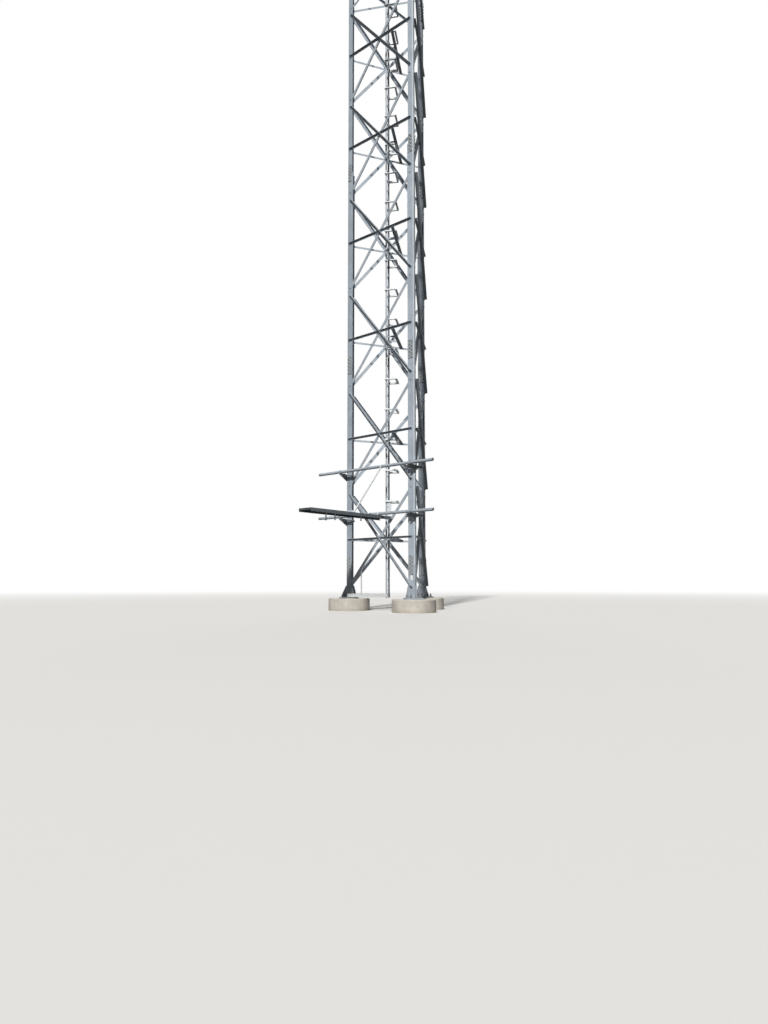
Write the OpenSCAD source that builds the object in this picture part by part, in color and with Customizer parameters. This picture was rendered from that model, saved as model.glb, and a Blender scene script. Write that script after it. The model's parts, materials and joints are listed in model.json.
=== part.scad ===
// Lower run of a three-legged lattice mast of constant width on round concrete piers.
// The legs are bent 60 degree angles in bolted sections, each face is braced with crossed
// angles and a strut, and a ladder with cable brackets climbs inside.
// The origin is the centre of the underside of pier A, +Z is up and face AB looks along -Y.

/* [Mast] */
// Width of a face between the sharp outer corners of its legs
face_w = 2610; // [2400:10:2800]
// Height of one braced bay
bay_h = 3048; // [2800:8:3300]
// Height of the short bay that ends the run
short_bay_h = 1220; // [1000:10:1400]
// Height of the lowest bracing node above the pier underside
first_node_z = 540; // [520:5:640]
// Length of leg above the last bracing node
leg_end = 150; // [90:5:250]
// Height of the lowest bracing bolts above the pier underside
foot_bolt_z = 700; // [670:5:760]
// Height between the diagonals that end above a node and those that end below it
end_gap = 240; // [180:10:280]

/* [Piers] */
// Diameter of a pier
pier_d = 1220; // [1100:10:1400]
// Height of a pier above the ground
pier_h = 356; // [300:2:380]
// Chamfer round a pier's top edge
pier_chamfer = 20; // [5:1:40]
// Distance from a leg's sharp corner to its pier's centre
pier_inset = 115; // [95:5:130]

/* [Legs] */
// Flange width of the two lower leg sections
leg_w = 245; // [232:1:260]
// Flange width of the upper leg sections
upper_leg_w = 210; // [200:1:225]
// Thickness of the bent leg plate
leg_t = 16; // [12:1:18]
// Inside radius of the bend in a leg
bend_r = 20; // [14:1:26]
// Distance of a leg joint above the bracing node below it
splice_rise = 762; // [700:2:860]

/* [Splices] */
// Length of a splice plate
splice_l = 540; // [500:10:600]
// Thickness of a splice plate
splice_t = 12; // [8:1:14]
// Distance of a splice plate from the edge of the leg's flange
splice_edge = 8; // [4:1:14]

/* [Base shoes] */
// Side of a base plate
shoe_w = 500; // [480:5:540]
// Thickness of a base plate
shoe_t = 38; // [30:1:45]
// Length cut off each corner of a base plate
shoe_corner = 70; // [50:5:90]
// Height of the gussets on a base plate
gusset_h = 330; // [250:10:400]
// Thickness of a gusset
gusset_t = 14; // [10:1:16]
// Width of the wing beside each flange of a leg
wing_w = 100; // [80:5:110]

/* [Bracing] */
// Width of a diagonal's flange against the legs
diagonal_w = 89; // [80:1:96]
// Width of a diagonal's standing flange
diagonal_h = 89; // [76:1:95]
// Thickness of a diagonal
diagonal_t = 8; // [6:1:9]
// Width of a strut's flanges
strut_w = 60; // [54:1:66]
// Thickness of a strut
strut_t = 6; // [5:1:8]
// Distance from a leg's sharp corner to the line of the bracing bolts
gauge = 145; // [142:1:156]
// Length of a diagonal past its bolt
end_l = 45; // [35:1:48]
// Length cut out of an inner diagonal's standing flange at each end
cope_l = 150; // [130:5:220]
// Length cut out of an outer diagonal's standing flange at each end
outer_cope_l = 25; // [10:5:60]
// Diameter of the spacer where two diagonals cross
spacer_d = 70; // [60:2:80]

/* [Ladder] */
// Width of the ladder over its rails
ladder_w = 457; // [440:1:480]
// Flange width of a rail
rail_w = 51; // [45:1:60]
// Thickness of a rail
rail_t = 6; // [5:1:8]
// Distance of the ladder from the mast's axis, towards leg A
ladder_set = 234; // [225:1:260]
// Shift of the ladder along its own width, towards leg C
ladder_shift = 0; // [0:2:20]
// Distance between rungs
rung_pitch = 304.8; // [290:0.2:320]
// Diameter of a rung
rung_d = 19; // [16:1:25]
// Height of the foot of the ladder above the pier underside
ladder_foot_z = 376; // [366:2:386]
// Distance of the cross braces from the mast's axis, away from leg A
brace_set = 20; // [10:2:40]
// Width of a cross brace's flanges
brace_w = 76; // [64:1:80]
// Thickness of a cross brace
brace_t = 8; // [6:1:9]

/* [Cable brackets] */
// Height of the lowest cable bracket
bracket_z = 3205; // [3190:5:3220]
// Distance between cable brackets
bracket_pitch = 914.4; // [910:0.2:916]
// Least distance from the highest cable bracket to the top of the ladder
bracket_top_gap = 100; // [60:5:300]
// Length of a bracket's arm past the rail, away from leg A
arm_out = 290; // [270:5:310]
// Length of a bracket's arm past the rail, towards leg A
arm_back = 20; // [10:2:40]
// Width of a bracket's flanges
arm_w = 51; // [40:1:56]
// Thickness of a bracket
arm_t = 5; // [4:1:6]

/* [Face pipes] */
// Outside diameter of a face pipe
pipe_d = 89; // [76:1:96]
// Wall of a face pipe
pipe_wall = 5; // [4:1:6]
// Length of a face pipe
pipe_l = 4280; // [3900:20:4500]
// Shift of the face pipes towards leg A
pipe_shift = 65; // [0:5:120]
// Distance of a face pipe's axis from the face of the legs
pipe_out = 215; // [200:5:225]
// Height of the lower face pipe
lower_pipe_z = 2765; // [2735:5:2800]
// Height of the upper face pipe
upper_pipe_z = 4110; // [4080:5:4140]
// Height of a pipe's underside above the clamps
arm_h = 14; // [12:1:30]
// Depth of the arms that carry a pipe, at their leg
arm_root = 210; // [180:5:240]
// Width of an arm under its pipe
arm_top_w = 76; // [64:1:90]
// Length of an arm past the pipe's axis
arm_past = 95; // [75:5:130]
// Length of a clamp's outer bar
clamp_l = 500; // [480:5:560]
// Width of a clamp bar's flanges
clamp_w = 76; // [64:1:80]
// Thickness of a clamp bar and of an arm
clamp_t = 8; // [6:1:10]
// Diameter of a clamp's threaded rods
clamp_rod_d = 20; // [16:1:24]

/* [Bridge] */
// Width of the bridge deck
deck_w = 457; // [400:5:480]
// Depth of the bridge deck
deck_h = 90; // [70:2:104]
// Reach of the deck outside the face of the legs
deck_out = 2930; // [2700:10:3100]
// Reach of the deck inside the face of the legs
deck_in = 300; // [270:2:320]
// Thickness of the deck plate and its sides
deck_t = 5; // [4:1:7]
// Width of the lips along the deck's sides
deck_lip = 40; // [30:1:50]
// Distance of the cross angle on the deck from the face of the legs
cross_out = 1340; // [1320:10:1400]
// Width of the cross angle's flanges
cross_w = 50; // [40:1:55]
// Diameter of the brace between the upper pipe and the deck
tie_d = 48; // [40:1:54]
// Width of the hanger between the lowest bracket and the deck
hanger_w = 92; // [76:1:100]
// Thickness of the hanger
hanger_t = 8; // [6:1:10]
// Diameter of the rods under the deck
rod_d = 16; // [12:1:20]
// Length of the longest rod under the deck
rod_l = 210; // [150:5:260]

/* [Hidden] */

galvanised = [0.70, 0.72, 0.74];
bright_steel = [0.82, 0.83, 0.84];
concrete = [0.74, 0.72, 0.68];
round_fn = 48;
bend_steps = 8;
weld = 3;

// Plan of the mast
face_in = face_w / (2 * sqrt(3));
pier_x = pier_inset * cos(30);
pier_y = pier_inset * sin(30);
bays_per_section = 2;
section_h = bays_per_section * bay_h;
bays = 3 * bays_per_section;
top_node_z = first_node_z + bays * bay_h + short_bay_h;
leg_top_z = top_node_z + leg_end;
shoe_top_z = pier_h + shoe_t;
bolt_span = face_w - 2 * gauge;

// Ladder places along its own axes: x runs from leg A to face BC, y from leg B to leg C
first_rung_z = first_node_z + bay_h / 2 - 4.5 * rung_pitch - 90;
ladder_joint_gap = 2;
ladder_top_z = leg_top_z - 60;
rail_y = ladder_w / 2;
bracket_count = 1 + floor((ladder_top_z - bracket_top_gap - bracket_z) / bracket_pitch);

// Bridge places in the frame of face AB
deck_top_z = lower_pipe_z - pipe_d / 2;
rod_places = [[-2380, 0], [-2040, 30], [-1015, 80]];
strap_x = deck_w / 2 - 60;
arm_in = 60;
tie_top_x = 270;
tie_foot = [deck_w / 2 - 110, 125 - cross_out];

function splice_z(k) = first_node_z + splice_rise + k * section_h;
function node_z(n) = n > bays ? top_node_z : first_node_z + n * bay_h;

// Lower and upper bolts of bay n's diagonals, and the height where they cross
function low_z(n) = n == 0 ? foot_bolt_z : node_z(n) + end_gap / 2;
function high_z(n) = n == bays ? top_node_z : node_z(n + 1) - end_gap / 2;
function crossing_z(n) = (low_z(n) + high_z(n)) / 2;

// Children drawn about the mast's axis
module mast() {
    translate([face_w / 2 - pier_x, face_in - pier_y, 0]) children();
}

// Children drawn on face i: x along the face, y inwards from the legs' outer side
module face(i) {
    mast() rotate([0, 0, 120 * i]) translate([0, -face_in, 0]) children();
}

// Children drawn at the sharp corner of leg i: x along its first flange
module leg(i) {
    mast() rotate([0, 0, 120 * i]) translate([-face_w / 2, -face_in, 0]) children();
}

// Children drawn on both flanges of a leg
module both_flanges() {
    children();
    rotate([0, 0, 60]) mirror([0, 1, 0]) children();
}

// Children drawn at the ladder: x away from leg A, y towards leg C
module ladder_frame() {
    mast() rotate([0, 0, 30]) translate([-ladder_set, ladder_shift, 0]) children();
}

// Points on the bend of a leg's section, from one angle to another
function bend(r, from, to) = [
    for (k = [0 : bend_steps])
        let (a = from + (to - from) * k / bend_steps)
            [(bend_r + leg_t) / tan(30) + r * cos(a), bend_r + leg_t + r * sin(a)]
];

// Section of a bent leg, the corner of its outer sides at the origin
module leg_profile(w) {
    toe = [w * cos(60), w * sin(60)];
    polygon(concat(
        [[w, 0]],
        bend(bend_r + leg_t, 270, 150),
        [toe, toe + leg_t * [sin(60), -cos(60)]],
        bend(bend_r, 150, 270),
        [[w, leg_t]]
    ));
}

// Angle bar along x: flange w on y = 0, flange h standing at its top towards -y
module angle_bar(length, w, h, t) {
    rotate([90, 0, 90]) linear_extrude(length, center = true)
        polygon([[0, -w / 2], [0, w / 2], [-h, w / 2], [-h, w / 2 - t], [-t, w / 2 - t], [-t, -w / 2]]);
}

// Pier with a chamfered top
module pier(i) {
    r = pier_d / 2;
    color(concrete) leg(i) translate([pier_x, pier_y, 0]) rotate_extrude($fn = 96)
        polygon([[0, 0], [r, 0], [r, pier_h - pier_chamfer], [r - pier_chamfer, pier_h], [0, pier_h]]);
}

// Triangular plate in the x-z plane with clipped ends, let into what it stands on and leans on
module gusset(reach, rise) {
    rotate([90, 0, 0]) linear_extrude(gusset_t, center = true)
        polygon([[-weld, -weld], [reach, -weld], [reach, 25], [25, rise], [-weld, rise]]);
}

// Base plate, gussets and the first length of leg, welded together
module base_shoe(i) {
    s = shoe_w / 2;
    c = s - shoe_corner;
    heel = bend_r + leg_t;
    color(galvanised) leg(i) {
        translate([pier_x, pier_y, pier_h]) rotate([0, 0, 30]) linear_extrude(shoe_t)
            polygon([[s, c], [c, s], [-c, s], [-s, c], [-s, -c], [-c, -s], [c, -s], [s, -c]]);
        translate([0, 0, shoe_top_z]) {
            translate([0, 0, -weld]) linear_extrude(splice_z(0) - shoe_top_z + weld) leg_profile(leg_w);
            both_flanges() translate([leg_w, leg_t / 2, 0]) gusset(wing_w, gusset_h);
            rotate([0, 0, 210]) translate([-heel, 0, 0])
                gusset(s - pier_inset + heel - 10, gusset_h);
        }
    }
}

// Leg section from one height to another
module leg_length(i, w, z0, z1) {
    color(galvanised) leg(i) translate([0, 0, z0]) linear_extrude(z1 - z0) leg_profile(w);
}

module leg_section(i, k) {
    leg_length(i, k < 3 ? leg_w : upper_leg_w, splice_z(k - 1), splice_z(k));
}

// Short lengths of leg above the last joint
module leg_ends() {
    for (i = [0:2]) leg_length(i, upper_leg_w, splice_z(3), leg_top_z);
}

// Plates outside and inside both flanges of the three legs at joint k
module splice_plates(k) {
    flat = (bend_r + leg_t) / tan(30);
    inner = max(flat, (leg_t + splice_t) / tan(30)) + 8;
    w = (k < 2 ? leg_w : upper_leg_w) - splice_edge;
    color(galvanised) for (i = [0:2]) leg(i) translate([0, 0, splice_z(k) - splice_l / 2]) both_flanges() {
        translate([flat + 4, -splice_t, 0]) cube([w - flat - 4, splice_t, splice_l]);
        translate([inner, leg_t, 0]) cube([w - inner, splice_t, splice_l]);
    }
}

// Angle bar along x with its standing flange cut back at both ends
module coped_bar(length, cope, w, h, t) {
    translate([0, -t / 2, 0]) cube([length, t, w], center = true);
    angle_bar(length - 2 * cope, w, h, t);
}

// Crossed diagonals of bay n, one on each side of the legs' flanges
module crossed_diagonals(n, w, h, t) {
    rise = high_z(n) - low_z(n);
    angle = atan2(rise, bolt_span);
    length = norm([bolt_span, rise]) + 2 * end_l;
    translate([0, 0, crossing_z(n)]) {
        rotate([0, angle, 0]) coped_bar(length, outer_cope_l, w, h, t);
        translate([0, leg_t, 0]) mirror([0, 1, 0]) rotate([0, -angle, 0]) coped_bar(length, cope_l, w, h, t);
        rotate([-90, 0, 0]) translate([0, 0, -t / 2])
            cylinder(d = spacer_d, h = leg_t + t, $fn = round_fn);
    }
}

// Strut through a crossing, from leg to leg
module strut(z) {
    length = face_w - 2 * (gauge - end_l);
    translate([0, 0, z]) angle_bar(length, strut_w, strut_w, strut_t);
}

// Bracing of section k of face i, and the short bay above the last one
module face_bracing(i, k) {
    color(galvanised) face(i) {
        for (n = [(k - 1) * bays_per_section : k * bays_per_section - 1]) {
            crossed_diagonals(n, diagonal_w, diagonal_h, diagonal_t);
            strut(crossing_z(n));
        }
        if (k == 3) crossed_diagonals(bays, strut_w, strut_w, strut_t);
    }
}

// Horizontal angle from face AB to face CA at each strut, with its stand-offs to the ladder
module ladder_brace(z) {
    reach = ladder_set + brace_set;
    translate([0, 0, z]) {
        intersection() {
            mast() rotate([0, 0, 30]) translate([brace_set, 0, 0]) rotate([0, 0, 90])
                angle_bar(face_w, brace_w, brace_w, brace_t);
            mast() translate([0, 0, -brace_w]) rotate([0, 0, 90])
                cylinder(r = face_w / sqrt(3), h = 2 * brace_w, $fn = 3);
        }
        ladder_frame() for (side = [-1, 1])
            translate([rail_t - rail_w / 2 + 1, side * (rail_y - rail_t - strut_t / 2) - strut_t / 2, -arm_w / 2])
                cube([reach + rail_w / 2 - rail_t - 1, strut_t, arm_w]);
    }
}

module ladder_braces() {
    color(galvanised) for (n = [0 : bays - 1]) ladder_brace(crossing_z(n));
}

// Ladder from z0 to z1 with its rungs on the common pitch
module ladder_length(z0, z1) {
    first = ceil((z0 + rung_d - first_rung_z) / rung_pitch);
    last = floor((z1 - rung_d - first_rung_z) / rung_pitch);
    color(galvanised) ladder_frame() {
        for (side = [0, 1]) mirror([0, side, 0]) translate([-rail_w / 2, -rail_y, z0]) linear_extrude(z1 - z0)
            polygon([[0, 0], [rail_w, 0], [rail_w, rail_t], [rail_t, rail_t], [rail_t, rail_w], [0, rail_w]]);
        for (k = [first : last]) translate([rail_w / 6, 0, first_rung_z + k * rung_pitch]) rotate([90, 0, 0])
            cylinder(d = rung_d, h = ladder_w - rail_t, center = true, $fn = 24);
    }
}

module ladder_section(k) {
    z0 = k == 1 ? ladder_foot_z : splice_z(k - 1) + ladder_joint_gap / 2;
    z1 = k == 3 ? ladder_top_z : splice_z(k) - ladder_joint_gap / 2;
    ladder_length(z0, z1);
}

// Two channels from the base plate of leg A to the foot of the ladder, and a post on one of them
module ladder_foot_frame() {
    channel_h = 102;
    channel_w = 40;
    start = -(face_w / sqrt(3) - pier_inset - ladder_set);
    color(bright_steel) ladder_frame() translate([0, 0, shoe_top_z]) for (side = [0, 1]) mirror([0, side, 0])
        translate([start, -rail_y, 0]) rotate([90, 0, 90]) linear_extrude(rail_w / 2 - start)
            polygon([[-channel_w, 0], [-channel_w, channel_h], [0, channel_h], [0, channel_h - rail_t],
                     [rail_t - channel_w, channel_h - rail_t], [rail_t - channel_w, rail_t], [0, rail_t], [0, 0]]);
    // The post stands where the channel passes behind the inner diagonal of face AB, and leans on it
    post_y = leg_t + diagonal_t;
    channel_y = ladder_shift - rail_y - channel_w / 2;
    along = (post_y + rail_w / 2 - face_in - channel_y * cos(30)) / sin(30);
    post_x = along * cos(30) - channel_y * sin(30);
    low = shoe_top_z + channel_h - weld;
    bar_z = low_z(0) + (bolt_span / 2 + post_x) * (high_z(0) - low_z(0)) / bolt_span;
    color(bright_steel) face(0) translate([post_x, post_y, low]) linear_extrude(bar_z + rail_w / 2 - low)
        polygon([[0, 0], [rail_w, 0], [rail_w, rail_t], [rail_t, rail_t], [rail_t, rail_w], [0, rail_w]]);
}

// Two arms on the outer sides of the rails and the bar that joins them
module cable_bracket() {
    out = rail_w / 2 + arm_out;
    for (side = [0, 1]) mirror([0, side, 0]) translate([-rail_w / 2 - arm_back, -rail_y, 0]) {
        translate([0, -arm_t, -arm_w / 2]) cube([out + rail_w / 2 + arm_back, arm_t, arm_w]);
        translate([0, -arm_w, -arm_w / 2]) cube([out + rail_w / 2 + arm_back, arm_w, arm_t]);
    }
    translate([out - arm_w, -rail_y - arm_t, -arm_w / 2]) cube([arm_w, 2 * (rail_y + arm_t), arm_t]);
    translate([out - arm_t, -rail_y - arm_t, -arm_w / 2]) cube([arm_t, 2 * (rail_y + arm_t), arm_w]);
}

module cable_brackets() {
    color(bright_steel) ladder_frame() for (k = [0 : bracket_count - 1])
        translate([0, 0, bracket_z + k * bracket_pitch]) cable_bracket();
}

// Pipe along face AB
module face_pipe(z) {
    color(galvanised) face(0) translate([-pipe_shift, -pipe_out, z]) rotate([0, 90, 0]) difference() {
        cylinder(d = pipe_d, h = pipe_l, center = true, $fn = round_fn);
        cylinder(d = pipe_d - 2 * pipe_wall, h = pipe_l + 2, center = true, $fn = round_fn);
    }
}

// Bars before and behind a leg, drawn together by rods, and the arm they carry
module leg_clamp(i, z) {
    heel = bend_r + leg_t;
    back = leg_w * cos(30) + leg_t * sin(30);
    arm_z = z - pipe_d / 2;
    bar_z = arm_z - arm_h - clamp_w / 2;
    rod_y = leg_w / 2 + clamp_rod_d;
    leg(i) rotate([0, 0, 30]) translate([0, 0, bar_z]) {
        translate([heel, 0, 0]) rotate([0, 0, -90]) angle_bar(clamp_l, clamp_w, clamp_w, clamp_t);
        translate([back + clamp_t / 2, 0, 0]) cube([clamp_t, 2 * rod_y + 60, clamp_w], center = true);
        for (side = [-1, 1]) translate([heel - clamp_t - 25, side * rod_y, -clamp_w / 6]) rotate([0, 90, 0])
            cylinder(d = clamp_rod_d, h = back - heel + 2 * clamp_t + 50, $fn = 24);
    }
    tip = -pipe_out - arm_past;
    face(0) mirror([i, 0, 0]) translate([heel / tan(30) - heel - face_w / 2, 0, arm_z]) {
        translate([-clamp_t, 0, 0]) rotate([90, 0, 90]) linear_extrude(clamp_t)
            polygon([[arm_in, 0], [arm_in, -arm_root], [0, -arm_root], [tip, -clamp_w / 2], [tip, 0]]);
        translate([-arm_top_w, tip, -clamp_t]) cube([arm_top_w, arm_in - tip, clamp_t]);
    }
}

module clamps(z) {
    color(galvanised) for (i = [0, 1]) leg_clamp(i, z);
}

// Deck plate with deep sides and lips, over ribs
module bridge_deck() {
    length = deck_out + deck_in;
    s = deck_w / 2;
    pitch = 400;
    color(galvanised) face(0) {
        translate([0, deck_in, deck_top_z]) rotate([90, 0, 0]) linear_extrude(length)
            polygon([[-s, 0], [s, 0], [s, -deck_h], [s - deck_lip, -deck_h], [s - deck_lip, deck_t - deck_h],
                     [s - deck_t, deck_t - deck_h], [s - deck_t, -deck_t], [deck_t - s, -deck_t],
                     [deck_t - s, deck_t - deck_h], [deck_lip - s, deck_t - deck_h], [deck_lip - s, -deck_h],
                     [-s, -deck_h]]);
        for (y = [deck_in - deck_t : -pitch : -deck_out])
            translate([-s + 1, y, deck_top_z - deck_h / 2]) cube([deck_w - 2, deck_t, deck_h / 2 - 1]);
    }
}

// Straps over the lower face pipe and the cross angle, seated on the deck
module bridge_straps() {
    band = 40;
    t = 6;
    foot = 45;
    color(bright_steel) face(0) for (x = [-strap_x, strap_x])
        translate([x, -pipe_out, lower_pipe_z]) rotate([90, 0, 90]) linear_extrude(band, center = true) {
            difference() {
                union() {
                    circle(d = pipe_d + 2 * t, $fn = round_fn);
                    translate([-pipe_d / 2 - t, -pipe_d / 2]) square([pipe_d + 2 * t, pipe_d / 2]);
                }
                circle(d = pipe_d, $fn = round_fn);
                translate([-pipe_d / 2, -pipe_d]) square([pipe_d, pipe_d]);
                translate([-pipe_d, -2 * pipe_d]) square([2 * pipe_d, 1.5 * pipe_d]);
            }
            for (side = [0, 1]) mirror([side, 0]) translate([pipe_d / 2, -pipe_d / 2]) square([foot, t]);
        }
    color(bright_steel) face(0) translate([0, -cross_out, deck_top_z]) rotate([90, 0, 90])
        linear_extrude(deck_w, center = true)
            polygon([[0, 0], [cross_w, 0], [cross_w, t], [t, t], [t, cross_w], [0, cross_w]]);
}

// Brace from a collar on the upper face pipe down to the deck
module bridge_tie() {
    collar_t = 8;
    collar_w = 60;
    foot_t = 8;
    foot_w = 110;
    top = [tie_top_x, -pipe_out, upper_pipe_z];
    low = [tie_foot[0], tie_foot[1], deck_top_z];
    run = low - top;
    flat = norm([run[0], run[1]]);
    color(bright_steel) face(0) {
        difference() {
            union() {
                translate(top) rotate([0, 90, 0])
                    cylinder(d = pipe_d + 2 * collar_t, h = collar_w, center = true, $fn = round_fn);
                translate(top) rotate([0, atan2(flat, run[2]), atan2(run[1], run[0])])
                    cylinder(d = tie_d, h = norm(run), $fn = 24);
            }
            translate(top) rotate([0, 90, 0]) cylinder(d = pipe_d, h = 3 * collar_w, center = true, $fn = round_fn);
            translate(low - [foot_w, foot_w, 2 * foot_w]) cube([2 * foot_w, 2 * foot_w, 2 * foot_w]);
        }
        translate(low - [foot_w / 3, foot_w / 2, 0]) cube([foot_w * 2 / 3, foot_w, foot_t]);
    }
}

// Hanger from the lowest cable bracket with a foot that meets the end of the deck
module bridge_hanger() {
    along = 100;
    low = deck_top_z - 2 * hanger_t;
    near = -rail_y - arm_t - hanger_t;
    color(bright_steel) {
        ladder_frame() translate([along - hanger_w / 2, near, low])
            cube([hanger_w, hanger_t, bracket_z - arm_w / 2 - low]);
        intersection() {
            ladder_frame() translate([along - hanger_w / 2, near - 400, low]) cube([hanger_w, 400 + hanger_t, hanger_t]);
            face(0) translate([-face_w / 2, deck_in, low]) cube([face_w, face_w, hanger_t]);
        }
    }
}

// Rods that hang under the deck's right side
module bridge_rods() {
    low = deck_top_z - deck_h;
    cap = 40;
    color(galvanised) face(0) for (p = rod_places)
        translate([deck_w / 2 - deck_lip / 2, p[0], low - rod_l + p[1]]) {
            cylinder(d = rod_d, h = rod_l - p[1], $fn = 24);
            translate([-cap / 2, -cap / 2, rod_d / 2]) cube([cap, cap, rod_d / 2]);
        }
}

pier(0);  // pier_a
pier(1);  // pier_b
pier(2);  // pier_c
base_shoe(0);  // base_shoe_a
base_shoe(1);  // base_shoe_b
base_shoe(2);  // base_shoe_c
leg_section(0, 1);  // leg_a_section_1
leg_section(1, 1);  // leg_b_section_1
leg_section(2, 1);  // leg_c_section_1
leg_section(0, 2);  // leg_a_section_2
leg_section(1, 2);  // leg_b_section_2
leg_section(2, 2);  // leg_c_section_2
leg_section(0, 3);  // leg_a_section_3
leg_section(1, 3);  // leg_b_section_3
leg_section(2, 3);  // leg_c_section_3
leg_ends();
splice_plates(0);  // splice_plates_1
splice_plates(1);  // splice_plates_2
splice_plates(2);  // splice_plates_3
splice_plates(3);  // splice_plates_4
face_bracing(0, 1);  // face_ab_bracing_1
face_bracing(1, 1);  // face_bc_bracing_1
face_bracing(2, 1);  // face_ca_bracing_1
face_bracing(0, 2);  // face_ab_bracing_2
face_bracing(1, 2);  // face_bc_bracing_2
face_bracing(2, 2);  // face_ca_bracing_2
face_bracing(0, 3);  // face_ab_bracing_3
face_bracing(1, 3);  // face_bc_bracing_3
face_bracing(2, 3);  // face_ca_bracing_3
ladder_braces();
ladder_section(1);  // ladder_section_1
ladder_section(2);  // ladder_section_2
ladder_section(3);  // ladder_section_3
ladder_foot_frame();
cable_brackets();
face_pipe(lower_pipe_z);  // lower_face_pipe
face_pipe(upper_pipe_z);  // upper_face_pipe
clamps(lower_pipe_z);  // lower_clamps
clamps(upper_pipe_z);  // upper_clamps
bridge_deck();
bridge_straps();
bridge_tie();
bridge_hanger();
bridge_rods();
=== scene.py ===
import json
import math
import random

import bpy
from mathutils import Matrix, Vector


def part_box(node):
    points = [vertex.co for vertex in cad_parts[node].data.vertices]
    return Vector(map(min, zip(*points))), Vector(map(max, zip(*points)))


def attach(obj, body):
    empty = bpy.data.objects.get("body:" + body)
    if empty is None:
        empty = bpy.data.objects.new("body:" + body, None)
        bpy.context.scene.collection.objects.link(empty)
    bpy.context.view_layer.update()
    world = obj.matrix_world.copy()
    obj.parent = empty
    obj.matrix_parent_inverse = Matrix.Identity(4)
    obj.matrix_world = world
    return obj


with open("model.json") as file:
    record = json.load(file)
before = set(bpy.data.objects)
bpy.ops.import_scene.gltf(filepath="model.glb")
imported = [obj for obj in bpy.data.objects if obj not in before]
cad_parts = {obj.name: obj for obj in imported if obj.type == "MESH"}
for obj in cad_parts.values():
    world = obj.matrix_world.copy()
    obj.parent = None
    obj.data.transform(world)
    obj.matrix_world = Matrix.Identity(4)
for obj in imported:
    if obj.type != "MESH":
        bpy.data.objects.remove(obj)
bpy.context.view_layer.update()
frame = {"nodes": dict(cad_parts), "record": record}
chance = random.Random(7)

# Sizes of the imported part, in metres. The mast and its bays
FACE_W = 2.610
FACE_IN = FACE_W / (2 * math.sqrt(3))
BAYS = 6
BAY_H = 3.048
SHORT_BAY_H = 1.220
NODE_Z = 0.540
FOOT_BOLT_Z = 0.700
END_GAP = 0.240
GAUGE = 0.145
# Legs, their joints and their feet
LEG_W = 0.245
LEG_T = 0.016
HEEL = 0.036
SPLICE_RISE = 0.762
SPLICE_T = 0.012
PIER_INSET = 0.115
PIER_H = 0.356
SHOE_T = 0.038
SHOE_W = 0.500
# Bracing
DIAGONAL_T = 0.008
STRUT_T = 0.006
# Ladder and cable brackets
LADDER_W = 0.457
LADDER_SET = 0.234
RAIL_W = 0.051
RAIL_T = 0.006
BRACE_SET = 0.020
BRACE_W = 0.076
BRACKETS = 19
BRACKET_Z = 3.205
BRACKET_PITCH = 0.9144
ARM_OUT = 0.290
ARM_W = 0.051
ARM_T = 0.005
# Pipes and clamps
PIPE_D = 0.089
PIPE_OUT = 0.215
LOWER_PIPE_Z = 2.765
UPPER_PIPE_Z = 4.110
CLAMP_ARM_H = 0.014
CLAMP_ARM_W = 0.076
CLAMP_T = 0.008
CLAMP_W = 0.076
CLAMP_ROD_D = 0.020
# Bridge
DECK_W = 0.457
DECK_H = 0.090
DECK_OUT = 2.930
DECK_IN = 0.300
DECK_LIP = 0.040
DECK_TOP_Z = LOWER_PIPE_Z - PIPE_D / 2
CROSS_OUT = 1.340
HUNG_ROD_L = 0.210
# Each rod's place along the deck, and how much shorter it is than the longest one
HUNG_RODS = ((-2.380, 0.0), (-2.040, 0.030), (-1.015, 0.080))

COS30 = math.cos(math.radians(30))
SIN30 = 0.5
AXIS = Vector((FACE_W / 2 - PIER_INSET * COS30, FACE_IN - PIER_INSET * SIN30, 0))
MIRROR_Y = Matrix.Scale(-1, 4, (0, 1, 0))


# Heights up the mast
def node_z(n):
    return NODE_Z + n * BAY_H if n <= BAYS else NODE_Z + BAYS * BAY_H + SHORT_BAY_H


def low_z(n):
    return FOOT_BOLT_Z if n == 0 else node_z(n) + END_GAP / 2


def high_z(n):
    return node_z(BAYS + 1) if n == BAYS else node_z(n + 1) - END_GAP / 2


def crossing_z(n):
    return (low_z(n) + high_z(n)) / 2


def splice_z(k):
    return node_z(2 * k) + SPLICE_RISE


# Frames of the part
def turn(angle, axis="Z"):
    return Matrix.Rotation(math.radians(angle), 4, axis)


def move(x, y, z):
    return Matrix.Translation((x, y, z))


def face(i):
    """Middle of a face at ground level: x runs along the face, and -y out of it."""
    return move(*AXIS) @ turn(120 * i) @ move(0, -FACE_IN, 0)


def leg(i):
    """Corner of a leg at ground level, turned as the face that starts there."""
    return move(*AXIS) @ turn(120 * i) @ move(-FACE_W / 2, -FACE_IN, 0)


def pier_middle(i):
    """Middle of a leg's pier at ground level: x runs from the leg's corner towards the mast's axis."""
    return leg(i) @ move(PIER_INSET * COS30, PIER_INSET * SIN30, 0) @ turn(30)


LADDER = move(*AXIS) @ turn(30) @ move(-LADDER_SET, 0, 0)
# Turns a fastener's axis from z to the outer side of a face, or to either side of the ladder
OUTWARD = turn(90, "X")
INWARD = turn(-90, "X")

# Camera of the photograph. Its optical centre lies LOW_PX pixels below the picture's middle
PHOTO_H = 1024
FOCAL_PX = 698.1
LOW_PX = 16.2
CAMERA_AT = Vector((14.109, -15.326, 0.796))
AHEAD = Vector((-0.6400, 0.7684, 0))
PITCH = math.radians(4.516)
ROLL = math.radians(-0.015)
SENSOR_H = 36
FAR_CLIP = 400


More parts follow.
